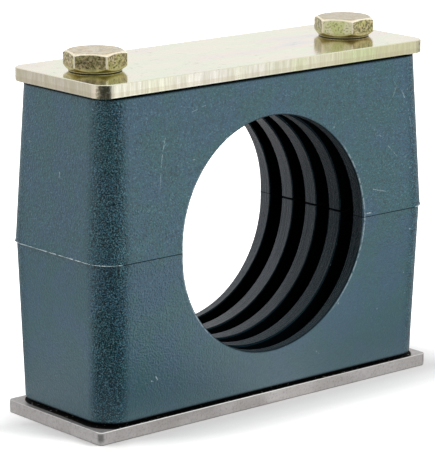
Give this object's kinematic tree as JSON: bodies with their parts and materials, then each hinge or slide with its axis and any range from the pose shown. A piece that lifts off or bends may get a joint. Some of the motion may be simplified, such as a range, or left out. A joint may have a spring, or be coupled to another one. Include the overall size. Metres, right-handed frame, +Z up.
{
  "type": "hydraulic tube clamp",
  "caption": "Split plastic tube clamp with a ribbed round bore, held between a cover plate and a weld plate by bolts.",
  "frame": {"origin": "centre of the weld plate's underside, below the tube's centre", "axes": "+X along the clamp from the left bolt to the right bolt, +Y along the tube towards the back, +Z up along the bolts"},
  "size_m": [0.0886, 0.0324, 0.0747],
  "materials": {
    "bare_steel": "bare rolled steel, matt",
    "clamp_plastic": "finely grained moulded polypropylene",
    "yellow_zinc_plate": "bright yellow zinc plating",
    "yellow_zinc_bolt": "yellow zinc plating"
  },
  "bodies": {
    "base": {"weld_plate": "bare_steel", "weld_nut_left": "bare_steel", "weld_nut_right": "bare_steel", "lower_clamp_half": "clamp_plastic"},
    "clamp_top": {"upper_clamp_half": "clamp_plastic", "cover_plate": "yellow_zinc_plate"},
    "bolt_left": {"bolt_left": "yellow_zinc_bolt"},
    "bolt_right": {"bolt_right": "yellow_zinc_bolt"}
  },
  "joints": [
    {"name": "clamp_lift", "type": "slide", "parent": "base", "child": "clamp_top", "axis": [0, 0, 1], "range_m": [0, 0.006]},
    {"name": "bolt_left_turn", "type": "hinge", "parent": "clamp_top", "child": "bolt_left", "pos_m": [-0.03306, 0, 0.0706], "axis": [0, 0, 1], "range_deg": [0, 1702]},
    {"name": "bolt_right_turn", "type": "hinge", "parent": "clamp_top", "child": "bolt_right", "pos_m": [0.03306, 0, 0.0706], "axis": [0, 0, 1], "range_deg": [0, 1702]}
  ],
  "couplings": [
    {"joint": "bolt_left_turn", "follows": "clamp_lift", "rad_per_m": 4947.4},
    {"joint": "bolt_right_turn", "follows": "clamp_lift", "rad_per_m": 4947.4}
  ]
}
